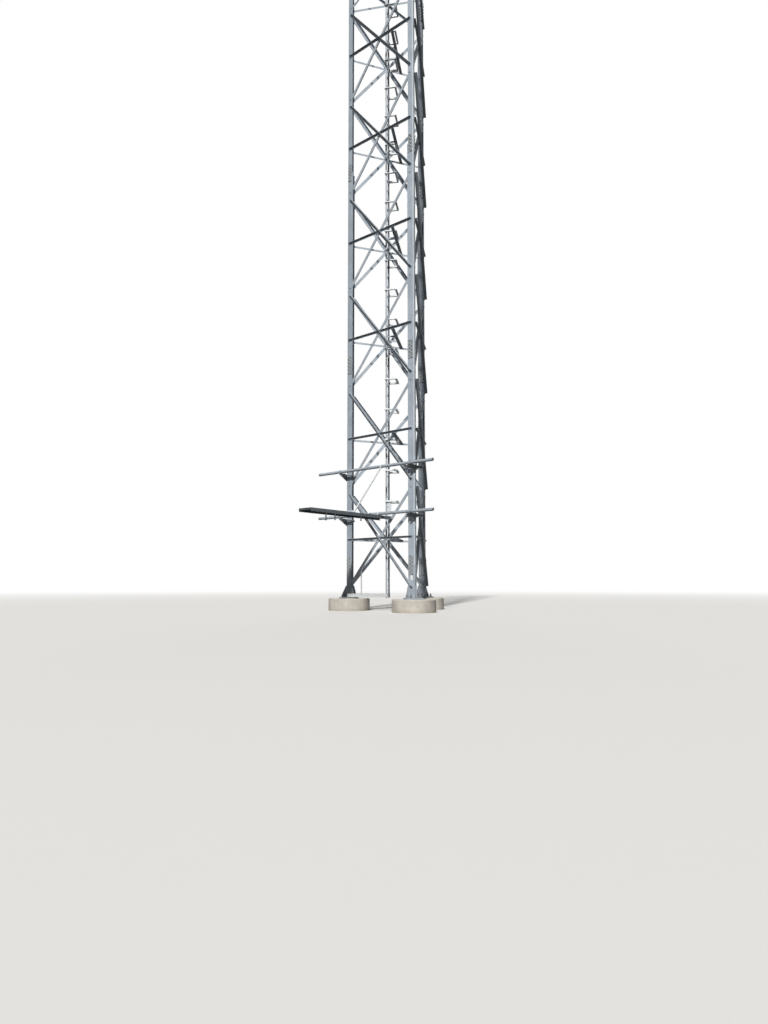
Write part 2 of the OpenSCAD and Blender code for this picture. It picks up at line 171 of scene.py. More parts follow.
def add_camera():
    flat = AHEAD.normalized()
    forward = flat * math.cos(PITCH) + Vector((0, 0, math.sin(PITCH)))
    right = Vector((flat.y, -flat.x, 0))
    up = right.cross(forward)
    rolled_right = right * math.cos(ROLL) + up * math.sin(ROLL)
    rolled_up = up * math.cos(ROLL) - right * math.sin(ROLL)
    data = bpy.data.cameras.new("photo_view")
    data.sensor_fit = "VERTICAL"
    data.sensor_height = SENSOR_H
    data.lens = FOCAL_PX / PHOTO_H * SENSOR_H
    data.shift_y = LOW_PX / PHOTO_H
    data.clip_end = FAR_CLIP
    camera = bpy.data.objects.new("photo_view", data)
    placed = Matrix((rolled_right, rolled_up, -forward)).transposed().to_4x4()
    placed.translation = CAMERA_AT
    camera.matrix_world = placed
    bpy.context.scene.collection.objects.link(camera)
    bpy.context.scene.camera = camera


add_camera()


# Node helpers that the materials are built with
BEVEL_SAMPLES = 4
EDGE_DOTS = (0.99, 0.86)
SPECULAR_LEVEL = 0.28


class Nodes:
    def __init__(self, name):
        self.material = bpy.data.materials.new(name)
        self.material.use_nodes = True
        self.tree = self.material.node_tree
        self.tree.nodes.clear()

    def add(self, kind, **values):
        made = self.tree.nodes.new(kind)
        for key, value in values.items():
            setattr(made, key, value)
        return made

    def link(self, source, target):
        self.tree.links.new(source, target)

    def put(self, socket, value):
        """Link an output to the socket, or set the socket to a number or colour."""
        if hasattr(value, "is_output"):
            self.link(value, socket)
        else:
            socket.default_value = value

    def math(self, operation, a, b=0.0):
        made = self.add("ShaderNodeMath", operation=operation)
        self.put(made.inputs[0], a)
        self.put(made.inputs[1], b)
        return made.outputs[0]

    def times(self, a, b):
        return self.math("MULTIPLY", a, b)

    def place(self):
        return self.add("ShaderNodeNewGeometry").outputs["Position"]

    def parts(self, vector):
        made = self.add("ShaderNodeSeparateXYZ")
        self.link(vector, made.inputs[0])
        return made.outputs

    def distance(self, vector, point):
        made = self.add("ShaderNodeVectorMath", operation="DISTANCE")
        self.link(vector, made.inputs[0])
        made.inputs[1].default_value = point
        return made.outputs["Value"]

    def stretched(self, vector, scale, shift=(0, 0, 0)):
        made = self.add("ShaderNodeMapping")
        self.put(made.inputs["Vector"], vector)
        made.inputs["Scale"].default_value = scale
        made.inputs["Location"].default_value = shift
        return made.outputs[0]

    def noise(self, vector, scale, detail=3.0, roughness=0.55):
        made = self.add("ShaderNodeTexNoise")
        self.put(made.inputs["Vector"], vector)
        made.inputs["Scale"].default_value = scale
        made.inputs["Detail"].default_value = detail
        made.inputs["Roughness"].default_value = roughness
        return made.outputs[0]

    def cells(self, vector, scale):
        made = self.add("ShaderNodeTexVoronoi")
        self.put(made.inputs["Vector"], vector)
        made.inputs["Scale"].default_value = scale
        return made.outputs

    def span(self, value, low, high, out_low=0.0, out_high=1.0):
        made = self.add("ShaderNodeMapRange")
        self.put(made.inputs[0], value)
        for k, number in enumerate((low, high, out_low, out_high)):
            made.inputs[k + 1].default_value = number
        return made.outputs[0]

    def mix(self, factor, a, b, blend="MIX"):
        made = self.add("ShaderNodeMix", data_type="RGBA", blend_type=blend)
        self.put(made.inputs["Factor"], factor)
        self.put(made.inputs["A"], a)
        self.put(made.inputs["B"], b)
        return made.outputs["Result"]

    def edges(self, radius):
        """How near a point is to an edge, and the normal with that edge rounded."""
        bevel = self.add("ShaderNodeBevel", samples=BEVEL_SAMPLES)
        bevel.inputs["Radius"].default_value = radius
        flat = self.add("ShaderNodeNewGeometry").outputs["Normal"]
        dot = self.add("ShaderNodeVectorMath", operation="DOT_PRODUCT")
        self.link(bevel.outputs[0], dot.inputs[0])
        self.link(flat, dot.inputs[1])
        return self.span(dot.outputs["Value"], *EDGE_DOTS), bevel.outputs[0]

    def bump(self, height, strength, distance, under):
        made = self.add("ShaderNodeBump")
        made.inputs["Strength"].default_value = strength
        made.inputs["Distance"].default_value = distance
        self.link(height, made.inputs["Height"])
        self.link(under, made.inputs["Normal"])
        return made.outputs[0]

    def finish(self, color, roughness, metallic, normal):
        shader = self.add("ShaderNodeBsdfPrincipled")
        self.put(shader.inputs["Base Color"], color)
        self.put(shader.inputs["Roughness"], roughness)
        shader.inputs["Metallic"].default_value = metallic
        shader.inputs["Specular IOR Level"].default_value = SPECULAR_LEVEL
        self.link(normal, shader.inputs["Normal"])
        out = self.add("ShaderNodeOutputMaterial")
        self.link(shader.outputs[0], out.inputs[0])
        return self.material


def shade(color, k):
    return (color[0] * k, color[1] * k, color[2] * k, 1)


# Galvanised steel: scales per metre, streaks drawn out along z, and tones as shares of the steel's colour
ZINC_METALLIC = 0.04
ZINC_BLOOM = (0.72, 0.74, 0.74, 1)
ZINC_SOIL = (0.30, 0.26, 0.20, 1)
# Pale colour of the painted highlight along a leg's bend
ZINC_BEND_HIGHLIGHT = (0.66, 0.70, 0.73, 1)
ZINC_RIM = (0.66, 0.68, 0.69, 1)
SPANGLE_SCALE = 70
SPANGLE_TONES = (0.84, 1.16)
ZINC_CLOUD_SCALE = 2.6
ZINC_CLOUD_TONES = (0.86, 1.08)
ZINC_STREAKS = (14, 14, 0.9)
ZINC_STREAK_TONE = 0.62
BLOOM_SCALE = 7.0
BLOOM_SHARE = 0.30
FINE_SCALE = 160
SOIL_TOP_Z = 1.1
SOIL_FULL_Z = 0.3
# Painted shade on undersides: how much of it, and how dark as a share of the steel's colour
UNDERSIDE_SHADE_SHARE = 0.45
UNDERSIDE_SHADE_TONE = 0.30
# Reach of the painted highlight from a leg's bend line, in metres
BEND_EDGE = 0.060
BEND_CORE = 0.030
BEND_HIGHLIGHT_SHARE = 0.75
ZINC_EDGE = 0.004
ZINC_EDGE_SHARE = 0.35


def galvanised(name, color, rough=0.58, stain=0.35, spangle=0.5, seed=0.0, soil=0.25, bend=None):
    """Hot-dip galvanised steel: spangle, cloudy patches, rain streaks, white bloom, polished edges,
    undersides darkened as painted shade and soil at the foot. A leg's bend, a line up through the point
    bend, gets a painted highlight."""
    n = Nodes(name)
    at = n.stretched(n.place(), (1, 1, 1), (seed * 3.1, seed * 1.7, seed * 2.3))
    flakes = n.cells(at, SPANGLE_SCALE)
    grain = n.times(n.math("SUBTRACT", flakes["Color"], 0.5), spangle)
    clouds = n.noise(at, ZINC_CLOUD_SCALE, 5, 0.6)
    streaks = n.noise(n.stretched(at, ZINC_STREAKS), 1.0, 4, 0.6)
    dark, light = ZINC_CLOUD_TONES
    base = n.mix(n.span(clouds, 0.35, 0.68), shade(color, dark), shade(color, light))
    base = n.mix(n.times(n.span(streaks, 0.50, 0.72), stain), base, shade(color, ZINC_STREAK_TONE))
    bloom = n.span(n.noise(at, BLOOM_SCALE, 6, 0.7), 0.60, 0.74)
    base = n.mix(n.times(bloom, BLOOM_SHARE), base, ZINC_BLOOM)
    base = n.mix(1.0, base, n.span(grain, -0.5, 0.5, *SPANGLE_TONES), "MULTIPLY")
    low = n.times(n.span(n.parts(n.place())["Z"], SOIL_TOP_Z, SOIL_FULL_Z), n.span(clouds, 0.3, 0.7))
    base = n.mix(n.times(low, soil), base, ZINC_SOIL)
    # Faces turned down are darkened as painted shade
    facing = n.parts(n.add("ShaderNodeNewGeometry").outputs["True Normal"])
    down = n.span(facing["Z"], -0.25, -0.9)
    base = n.mix(n.times(down, UNDERSIDE_SHADE_SHARE), base, shade(color, UNDERSIDE_SHADE_TONE))
    # A leg's bend is painted brighter as a highlight
    if bend is not None:
        away = n.distance(n.stretched(n.place(), (1, 1, 0)), bend)
        bend_highlight = n.times(n.span(away, BEND_EDGE, BEND_CORE), n.span(clouds, 0.25, 0.55, 0.6, 1.0))
        base = n.mix(n.times(bend_highlight, BEND_HIGHLIGHT_SHARE), base, ZINC_BEND_HIGHLIGHT)
    rim, soft = n.edges(ZINC_EDGE)
    base = n.mix(n.times(rim, ZINC_EDGE_SHARE), base, ZINC_RIM)
    dull = n.math("ADD", n.span(grain, -0.5, 0.5, rough - 0.07, rough + 0.07), n.times(bloom, 0.15))
    fine = n.math("ADD", n.noise(at, FINE_SCALE, 2), n.times(flakes["Distance"], 0.6))
    return n.finish(base, dull, ZINC_METALLIC, n.bump(fine, 0.12, 0.002, soft))


# Concrete. The form's mark climbs as a spiral, FORM_MARKS turns to a metre
FORM_MARKS = 9.0
FORM_MARK_SHARE = 0.22
FORM_MARK_TONE = 0.62
CONCRETE_DAMP = (0.33, 0.27, 0.20, 1)
CONCRETE_CLOUD_SCALE = 3.5
CONCRETE_CLOUD_TONES = (0.80, 1.10)
GRIT_SCALE = 90
GRIT_TONE = 0.72
PORE_SCALE = 45
PORE_PATCH_SCALE = 14
PORE_SHARE = 0.75
PORE_TONE = 0.35
CONCRETE_STREAKS = (11, 11, 0.8)
CONCRETE_STREAK_SHARE = 0.30
CONCRETE_STREAK_TONE = 0.68
DAMP_SHARE = 0.40
DAMP_TOP_Z = 0.14
DAMP_FULL_Z = 0.05
CONCRETE_EDGE = 0.006
CONCRETE_EDGE_SHARE = 0.30
CONCRETE_EDGE_TONE = 1.20
CONCRETE_ROUGH = (0.78, 0.92)


def concrete(name, color, centre, seed):
    """Cast concrete: form marks, clouds, grit, pores, rain streaks, worn edges and a damp foot."""
    n = Nodes(name)
    at = n.stretched(n.place(), (1, 1, 1), (seed * 2.1, seed * 1.3, seed))
    place = n.parts(n.place())
    angle = n.math("ARCTAN2", n.math("SUBTRACT", place["Y"], centre[1]),
                   n.math("SUBTRACT", place["X"], centre[0]))
    rise = n.math("ADD", n.times(place["Z"], FORM_MARKS), n.math("DIVIDE", angle, 2 * math.pi))
    seam = n.span(n.math("ABSOLUTE", n.math("SUBTRACT", n.math("FRACT", rise), 0.5)), 0.06, 0.0)
    clouds = n.noise(at, CONCRETE_CLOUD_SCALE, 6, 0.62)
    dark, light = CONCRETE_CLOUD_TONES
    base = n.mix(n.span(clouds, 0.32, 0.68), shade(color, dark), shade(color, light))
    grit = n.noise(at, GRIT_SCALE, 3, 0.7)
    base = n.mix(n.span(grit, 0.52, 0.75), base, shade(color, GRIT_TONE))
    hole = n.span(n.cells(at, PORE_SCALE)["Distance"], 0.16, 0.08)
    pores = n.times(hole, n.span(n.noise(at, PORE_PATCH_SCALE, 2), 0.50, 0.56))
    base = n.mix(n.times(pores, PORE_SHARE), base, shade(color, PORE_TONE))
    base = n.mix(n.times(seam, FORM_MARK_SHARE), base, shade(color, FORM_MARK_TONE))
    damp = n.span(n.math("ADD", place["Z"], n.times(clouds, 0.10)), DAMP_TOP_Z, DAMP_FULL_Z)
    base = n.mix(n.times(damp, DAMP_SHARE), base, CONCRETE_DAMP)
    streaks = n.noise(n.stretched(at, CONCRETE_STREAKS), 1.0, 4, 0.6)
    runs = n.times(n.span(streaks, 0.52, 0.74), CONCRETE_STREAK_SHARE)
    base = n.mix(runs, base, shade(color, CONCRETE_STREAK_TONE))
    rim, soft = n.edges(CONCRETE_EDGE)
    base = n.mix(n.times(rim, CONCRETE_EDGE_SHARE), base, shade(color, CONCRETE_EDGE_TONE))
    fine = n.math("SUBTRACT", n.math("ADD", grit, n.times(clouds, 0.8)),
                  n.math("ADD", n.times(pores, 1.5), n.times(seam, 0.5)))
    rough = n.span(clouds, 0.3, 0.7, *CONCRETE_ROUGH)
    return n.finish(base, rough, 0.0, n.bump(fine, 0.5, 0.004, soft))


# Finish of each material slot
BRIGHT_COLOR = (0.730, 0.765, 0.780)
BARE_PLATE_COLOR = (0.800, 0.820, 0.820)
DECK_COLOR = (0.150, 0.175, 0.200)
BOLT_COLOR = (0.200, 0.215, 0.225)
SLEEVE_COLOR = (0.100, 0.110, 0.120)
PIER_COLOR = (0.620, 0.580, 0.520)
FINISHES = {
    "leg_steel": dict(color=(0.360, 0.410, 0.470), stain=0.35),
    "plate_steel": dict(color=(0.310, 0.340, 0.365), rough=0.64, stain=0.40),
    "bracing_steel": dict(color=(0.380, 0.425, 0.475), stain=0.25),
    "ladder_steel": dict(color=(0.400, 0.440, 0.490), rough=0.54, stain=0.20),
    "bright_steel": dict(color=BRIGHT_COLOR, rough=0.50, stain=0.10, spangle=0.35),
    "pipe_steel": dict(color=(0.380, 0.430, 0.480), rough=0.50, stain=0.15),
    "deck_steel": dict(color=DECK_COLOR, rough=0.66, stain=0.45),
}
# Nodes that are paler or darker than the rest of their slot, by the start of their names. Leg C, face BC,
# the shoes of legs A and C and the clamps are darkened as painted shade, and face CA is made paler as
# painted light.
TONES_AND_PAINTED_LIGHT = {
    "leg_a": 0.97,
    "leg_b": 1.20,
    "leg_c": 0.75,
    "base_shoe_a": 0.80,
    "base_shoe_b": 1.08,
    "base_shoe_c": 0.82,
    "splice": 1.08,
    "face_bc": 0.85,
    "face_ca": 1.32,
    "ladder_foot": 0.86,
    "lower_clamps": 0.80,
    "upper_clamps": 0.80,
    "bridge_rods": 0.35,
}
LEG_STARTS = ("leg_a", "leg_b", "leg_c")
SEED_SPAN = 5
TONE_RANGE = (0.96, 1.04)


def dress(node, material):
    node.data.materials.clear()
    node.data.materials.append(material)


def dress_pier(name, node):
    low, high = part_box(name)
    centre = ((low[0] + high[0]) / 2, (low[1] + high[1]) / 2)
    dress(node, concrete("concrete_" + name, PIER_COLOR, centre, chance.uniform(0, SEED_SPAN)))


def dress_steel(name, node, slot):
    values = dict(FINISHES[slot])
    tone = chance.uniform(*TONE_RANGE)
    # Some of these tones are painted light and shade on whole nodes
    for start, level in TONES_AND_PAINTED_LIGHT.items():
        if name.startswith(start):
            tone *= level
    values["color"] = tuple(c * tone for c in values["color"])
    for i, start in enumerate(LEG_STARTS):
        if name.startswith(start):
            corner = leg(i).translation
            values["bend"] = (corner.x, corner.y, 0)
    dress(node, galvanised(slot + "_" + name, seed=chance.uniform(0, SEED_SPAN), **values))


slots = {entry["node"]: entry["material_slot"] for entry in frame["record"]["subparts"]}
for name, node in sorted(frame["nodes"].items()):
    if slots[name] == "concrete":
        dress_pier(name, node)
    else:
        dress_steel(name, node, slots[name])


# A piece is gathered from many small solids
SMOOTH_ANGLE = 35
CHAMFER_REACH = 1.4
SMALL_SIDES = 12
ROD_SIDES = 16


class Piece:
    def __init__(self, name):
        self.name = name
        self.verts = []
        self.faces = []

    def rings(self, m, rings, close_low=True, close_high=True):
        """Skin over rings of points that all have the same count."""
        first = len(self.verts)
        count = len(rings[0])
        for ring in rings:
            for point in ring:
                self.verts.append(m @ Vector(point))
        found = []
        for r in range(len(rings) - 1):
            a = first + r * count
            for k in range(count):
                j = (k + 1) % count
                found.append((a + k, a + j, a + count + j, a + count + k))
        if close_low:
            found.append(tuple(reversed(range(first, first + count))))
        if close_high:
            last = first + (len(rings) - 1) * count
            found.append(tuple(range(last, last + count)))
        mirrored = m.determinant() < 0
        self.faces += [tuple(reversed(f)) for f in found] if mirrored else found

    def lathe(self, m, profile, count, start=0.0, **closing):
        steps = [start + 2 * math.pi * k / count for k in range(count)]
        rings = [[(r * math.cos(s), r * math.sin(s), z) for s in steps] for r, z in profile]
        self.rings(m, rings, **closing)

    def plate(self, m, outline, thickness, chamfer):
        """Plate of any outline, its upper edge broken."""
        middle_x = sum(x for x, y in outline) / len(outline)
        middle_y = sum(y for x, y in outline) / len(outline)
        inner = []
        for x, y in outline:
            reach = math.hypot(x - middle_x, y - middle_y)
            k = 1 - chamfer * CHAMFER_REACH / reach
            inner.append((middle_x + (x - middle_x) * k, middle_y + (y - middle_y) * k, thickness))
        low = [(x, y, 0) for x, y in outline]
        high = [(x, y, thickness - chamfer) for x, y in outline]
        self.rings(m, [low, high, inner])

    def sweep(self, points, radius, count):
        """Round bar along a path."""
        rings = []
        side = (points[1] - points[0]).orthogonal()
        for k, p in enumerate(points):
            before = points[max(k - 1, 0)]
            after = points[min(k + 1, len(points) - 1)]
            along = (after - before).normalized()
            side = (side - along * side.dot(along)).normalized()
            other = along.cross(side)
            ring = []
            for j in range(count):
                s = 2 * math.pi * j / count
                ring.append(p + (side * math.cos(s) + other * math.sin(s)) * radius)
            rings.append(ring)
        self.rings(Matrix.Identity(4), rings)

    def done(self, material):
        mesh = bpy.data.meshes.new(self.name)
        mesh.from_pydata([tuple(v) for v in self.verts], [], self.faces)
        mesh.update()
        mesh.polygons.foreach_set("use_smooth", [True] * len(mesh.polygons))
        mesh.set_sharp_from_angle(angle=math.radians(SMOOTH_ANGLE))
        made = bpy.data.objects.new(self.name, mesh)
        bpy.context.scene.collection.objects.link(made)
        made.data.materials.append(material)
        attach(made, "root")


# Fasteners, each up along z. Their proportions are shares of the bolt's diameter, or of their own size
WASHER_R = 0.95
WASHER_T = 0.16
WASHER_EDGE_T = 0.13
WASHER_TOP_R = 0.93
WASHER_SIDES = 20
HEX_R = 0.92
HEX_EDGE_H = 0.82
HEX_TOP_R = 0.86
NUT_H = 0.80
HEAD_H = 0.62
TAIL_L = 0.45
TAIL_EDGE_L = 0.35
TAIL_TOP_R = 0.75


def washer(piece, m, d):
    r = d * WASHER_R
    profile = [(r, 0), (r, d * WASHER_EDGE_T), (r * WASHER_TOP_R, d * WASHER_T)]
    piece.lathe(m, profile, WASHER_SIDES, close_low=False)
    return d * WASHER_T


def hexagon(piece, m, d, h):
    r = d * HEX_R
    start = chance.uniform(0, math.pi / 3)
    piece.lathe(m, [(r, 0), (r, h * HEX_EDGE_H), (r * HEX_TOP_R, h)], 6, start, close_low=False)


def capped(piece, m, d, h):
    """Washer with a nut or a bolt's head on it."""
    w = washer(piece, m, d)
    hexagon(piece, m @ move(0, 0, w), d, h)
    return w + h


def nut(piece, m, d):
    """Washer, nut and the threaded end that stands out of it."""
    end = capped(piece, m, d, d * NUT_H)
    r = d * 0.5
    profile = [(r, 0), (r, d * TAIL_EDGE_L), (r * TAIL_TOP_R, d * TAIL_L)]
    piece.lathe(m @ move(0, 0, end), profile, SMALL_SIDES, close_low=False)


def head(piece, m, d):
    capped(piece, m, d, d * HEAD_H)


def bolt(piece, m, d, grip):
    """Bolt with its head at the origin and its nut below the grip."""
    head(piece, m, d)
    nut(piece, m @ move(0, 0, -grip) @ turn(180, "X"), d)


fastener = galvanised("fastener_steel", BOLT_COLOR, rough=0.50, stain=0.2, spangle=0.2, seed=1.3)
bright_fastener = galvanised("bright_fastener_steel", BRIGHT_COLOR, rough=0.45, stain=0.1, spangle=0.2,
                             seed=2.1)


# Bolts of the leg joints: two staggered columns on each flange, closer together on the narrower legs
SPLICE_BOLT_D = 0.022
SPLICE_PITCH = 0.107
SPLICE_ROWS = 5
STAGGER = 0.5
SPLICE_COLUMNS = ((0.100, 0.165), (0.100, 0.165), (0.096, 0.150), (0.096, 0.150))


def splice_bolts(k):
    piece = Piece("splice_bolts_%d" % (k + 1))
    middle = (SPLICE_ROWS - 1 + STAGGER) / 2
    for i in range(3):
        for side in (-1, 1):
            for c, inset in enumerate(SPLICE_COLUMNS[k]):
                for row in range(SPLICE_ROWS):
                    z = splice_z(k) + (row - middle + STAGGER * c) * SPLICE_PITCH
                    m = face(i) @ move(side * (FACE_W / 2 - inset), -SPLICE_T, z) @ OUTWARD
                    bolt(piece, m, SPLICE_BOLT_D, LEG_T + 2 * SPLICE_T)
    piece.done(fastener)


for k in range(len(SPLICE_COLUMNS)):
    splice_bolts(k)


# Bolts of the bracing
DIAGONAL_BOLT_D = 0.020
STRUT_BOLT_D = 0.016


def bay_bolts(piece, i, n):
    """Bolts of one bay of face i. The outer diagonal falls from left to right, the inner one rises."""
    short = n == BAYS
    t = STRUT_T if short else DIAGONAL_T
    d = STRUT_BOLT_D if short else DIAGONAL_BOLT_D
    edge = FACE_W / 2 - GAUGE
    for side in (-1, 1):
        for z, outer in ((high_z(n), side < 0), (low_z(n), side > 0)):
            front = -t if outer else 0
            back = LEG_T if outer else LEG_T + t
            bolt(piece, face(i) @ move(side * edge, front, z) @ OUTWARD, d, back - front)
    bolt(piece, face(i) @ move(0, -t, crossing_z(n)) @ OUTWARD, d, LEG_T + 2 * t)
    if not short:
        for side in (-1, 1):
            m = face(i) @ move(side * edge, -STRUT_T, crossing_z(n)) @ OUTWARD
            bolt(piece, m, STRUT_BOLT_D, LEG_T + STRUT_T)


for i, face_name in enumerate(("ab", "bc", "ca")):
    piece = Piece("bracing_bolts_" + face_name)
    for n in range(BAYS + 1):
        bay_bolts(piece, i, n)
    piece.done(fastener)


# Anchor rods, each with a square washer, a nut and a lock nut
ANCHOR_D = 0.032
ANCHOR_NUT_H = 0.026
LOCK_NUT_H = 0.018
ANCHOR_TAIL = 0.046
ANCHOR_TIP_H = 0.004
ANCHOR_TIP_IN = 0.003
SQUARE_T = 0.010
SQUARE_HALF = 0.036
SQUARE_CHAMFER = 0.002
SQUARE_SWING = 8
ANCHOR_PLACES = ((-0.150, -0.150), (-0.150, 0.150), (0.040, -0.185), (0.040, 0.185), (0.185, -0.055),
                 (0.185, 0.055))


def anchor_rods(i):
    piece = Piece("anchor_rods_" + "abc"[i])
    s = SQUARE_HALF
    r = ANCHOR_D / 2
    tail = [(r, 0), (r, ANCHOR_TAIL - ANCHOR_TIP_H), (r - ANCHOR_TIP_IN, ANCHOR_TAIL)]
    for x, y in ANCHOR_PLACES:
        swing = chance.uniform(-SQUARE_SWING, SQUARE_SWING)
        m = pier_middle(i) @ move(x, y, PIER_H + SHOE_T) @ turn(swing)
        piece.plate(m, [(-s, -s), (s, -s), (s, s), (-s, s)], SQUARE_T, SQUARE_CHAMFER)
        m = m @ move(0, 0, SQUARE_T)
        hexagon(piece, m, ANCHOR_D, ANCHOR_NUT_H)
        m = m @ move(0, 0, ANCHOR_NUT_H)
        hexagon(piece, m, ANCHOR_D, LOCK_NUT_H)
        m = m @ move(0, 0, LOCK_NUT_H)
        piece.lathe(m, tail, ROD_SIDES, close_low=False)
    piece.done(fastener)


for i in range(3):
    anchor_rods(i)


# Bolts of the ladder and the cable brackets
LADDER_BOLT_D = 0.012
RAIL_BOLT_X = 0.004
BRACE_BOLT_IN = BRACE_W * 0.45
ARM_BOLT_LOW = 0.006
ARM_END_BOLT_IN = 0.026
ARM_END_BOLT_SIDE = 0.030


def brace_bolts(piece, n):
    """Bolts that hold the ladder's stand-offs at a crossing: through the rail, and heads at the brace."""
    inner = LADDER_W / 2 - RAIL_T - STRUT_T
    for side in (-1, 1):
        out = OUTWARD if side > 0 else INWARD
        m = LADDER @ move(RAIL_BOLT_X, side * inner, crossing_z(n)) @ out
        bolt(piece, m, LADDER_BOLT_D, RAIL_T + STRUT_T)
        m = LADDER @ move(LADDER_SET + BRACE_SET - BRACE_BOLT_IN, side * inner, crossing_z(n)) @ out
        head(piece, m, LADDER_BOLT_D)


def bracket_bolts(piece, z):
    for side in (-1, 1):
        out = OUTWARD if side < 0 else INWARD
        m = LADDER @ move(RAIL_BOLT_X, side * (LADDER_W / 2 + ARM_T), z - ARM_BOLT_LOW) @ out
        bolt(piece, m, LADDER_BOLT_D, RAIL_T + ARM_T)
        x = RAIL_W / 2 + ARM_OUT - ARM_END_BOLT_IN
        m = LADDER @ move(x, side * (LADDER_W / 2 - ARM_END_BOLT_SIDE), z - ARM_W / 2 + ARM_T)
        bolt(piece, m, LADDER_BOLT_D, ARM_T)


def ladder_bolts():
    piece = Piece("ladder_bolts")
    for n in range(BAYS):
        brace_bolts(piece, n)
    for k in range(BRACKETS):
        bracket_bolts(piece, BRACKET_Z + k * BRACKET_PITCH)
    piece.done(bright_fastener)


ladder_bolts()


# Clamp fasteners: nuts on the rods, and a bent rod that holds the pipe down on each arm
CLAMP_ROD_Y = LEG_W / 2 + CLAMP_ROD_D
CLAMP_ARM_X = HEEL / math.tan(math.radians(30)) - HEEL - FACE_W / 2
LEG_DEPTH = LEG_W * COS30 + LEG_T * SIN30
BENT_ROD_R = 0.006
BENT_ROD_TAIL = 0.050
BENT_ROD_STEPS = 16
BENT_NUT_H = 0.010


def clamp_rod_nuts(piece, i, arm_z):
    middle = leg(i) @ turn(30) @ move(0, 0, arm_z - CLAMP_ARM_H - CLAMP_W / 2)
    for side in (-1, 1):
        for x, away in ((HEEL - CLAMP_T, -90), (LEG_DEPTH + CLAMP_T, 90)):
            m = middle @ move(x, side * CLAMP_ROD_Y, -CLAMP_W / 6) @ turn(away, "Y")
            capped(piece, m, CLAMP_ROD_D, CLAMP_ROD_D * NUT_H)


def bent_rod(piece, x, arm_z):
    r = PIPE_D / 2 + BENT_ROD_R
    steps = [math.pi * k / BENT_ROD_STEPS for k in range(BENT_ROD_STEPS + 1)]
    arch = [(-r * math.cos(a), PIPE_D / 2 + r * math.sin(a)) for a in steps]
    outline = [(-r, -BENT_ROD_TAIL)] + arch + [(r, -BENT_ROD_TAIL)]
    points = [face(0) @ Vector((x, y - PIPE_OUT, arm_z + z)) for y, z in outline]
    piece.sweep(points, BENT_ROD_R, SMALL_SIDES)
    for y in (-r, r):
        m = face(0) @ move(x, y - PIPE_OUT, arm_z - CLAMP_T) @ turn(180, "X")
        capped(piece, m, 2 * BENT_ROD_R, BENT_NUT_H)


def clamp_fasteners(name, pipe_z):
    piece = Piece(name)
    arm_z = pipe_z - PIPE_D / 2
    for i, side in ((0, 1), (1, -1)):
        clamp_rod_nuts(piece, i, arm_z)
        bent_rod(piece, side * (CLAMP_ARM_X - CLAMP_ARM_W / 2), arm_z)
    piece.done(fastener)


clamp_fasteners("lower_clamp_fasteners", LOWER_PIPE_Z)
clamp_fasteners("upper_clamp_fasteners", UPPER_PIPE_Z)


# Plates over the joints of the ladder's rails
JOINT_HALF_W = 0.019
JOINT_HALF_H = 0.100
JOINT_T = 0.005
JOINT_CHAMFER = 0.001
JOINT_BOLTS = (-0.075, -0.030, 0.030, 0.075)


def ladder_joints():
    piece = Piece("ladder_joint_plates")
    w = JOINT_HALF_W
    h = JOINT_HALF_H
    for k in (1, 2):
        for side in (-1, 1):
            out = OUTWARD if side < 0 else INWARD
            m = LADDER @ move(RAIL_BOLT_X, side * LADDER_W / 2, splice_z(k)) @ out
            piece.plate(m, [(-w, -h), (w, -h), (w, h), (-w, h)], JOINT_T, JOINT_CHAMFER)
            for y in JOINT_BOLTS:
                bolt(piece, m @ move(0, y, JOINT_T), LADDER_BOLT_D, RAIL_T + JOINT_T)
    piece.done(fastener)


ladder_joints()


# Bare plate with cut corners on leg B, held by four rivets
BARE_W = 0.085
BARE_H = 0.140
BARE_T = 0.003
BARE_CHAMFER = 0.0006
BARE_CORNER = 0.006
BARE_IN = 0.125
BARE_Z = 0.948
RIVET_IN = 0.011
RIVET = ((0.0050, 0), (0.0045, 0.0015), (0.0025, 0.0026))


def bare_plate():
    piece = Piece("blank_plate")
    m = face(0) @ move(FACE_W / 2 - BARE_IN, 0, BARE_Z) @ OUTWARD
    a = BARE_W / 2
    b = BARE_H / 2
    c = BARE_CORNER
    outline = [(-a + c, -b), (a - c, -b), (a, -b + c), (a, b - c),
               (a - c, b), (-a + c, b), (-a, b - c), (-a, -b + c)]
    piece.plate(m, outline, BARE_T, BARE_CHAMFER)
    for x in (-a + RIVET_IN, a - RIVET_IN):
        for y in (-b + RIVET_IN, b - RIVET_IN):
            piece.lathe(m @ move(x, y, BARE_T), RIVET, SMALL_SIDES, close_low=False)
    piece.done(galvanised("blank_plate_steel", BARE_PLATE_COLOR, rough=0.4, stain=0.05,
                                          spangle=0.1, seed=4.2, soil=0.05))


bare_plate()


# Weld beads at the shoes: along both flanges, and along the gussets at their edges and behind the bend
BEAD = 0.009
BEAD_STEP = 0.006
BEAD_SINK = 0.001
BEAD_RIPPLE = 0.10
RIPPLE_TURN = 1.9
BEAD_JITTER = 0.05
BEAD_FACE = 0.62
FLANGE_WELD_START = 0.070
FLANGE_WELD_L = LEG_W - 0.072
EDGE_WELD_START = LEG_W + 0.002
EDGE_WELD_L = 0.095
HEEL_WELD_START = HEEL + 0.004
HEEL_WELD_L = SHOE_W / 2 - PIER_INSET - 0.016
GUSSET_HALF_T = 0.007


def bead(piece, m, length):
    """Fillet along x in the corner of +y and +z, its face rippled."""
    rings = []
    low = -BEAD_SINK
    steps = max(4, int(length / BEAD_STEP))
    for k in range(steps + 1):
        jitter = chance.uniform(-BEAD_JITTER, BEAD_JITTER)
        s = BEAD * (1 + BEAD_RIPPLE * math.sin(k * RIPPLE_TURN) + jitter)
        f = s * BEAD_FACE
        x = length * k / steps
        rings.append([(x, low, low), (x, s, low), (x, f, f), (x, low, s)])
    piece.rings(m, rings)


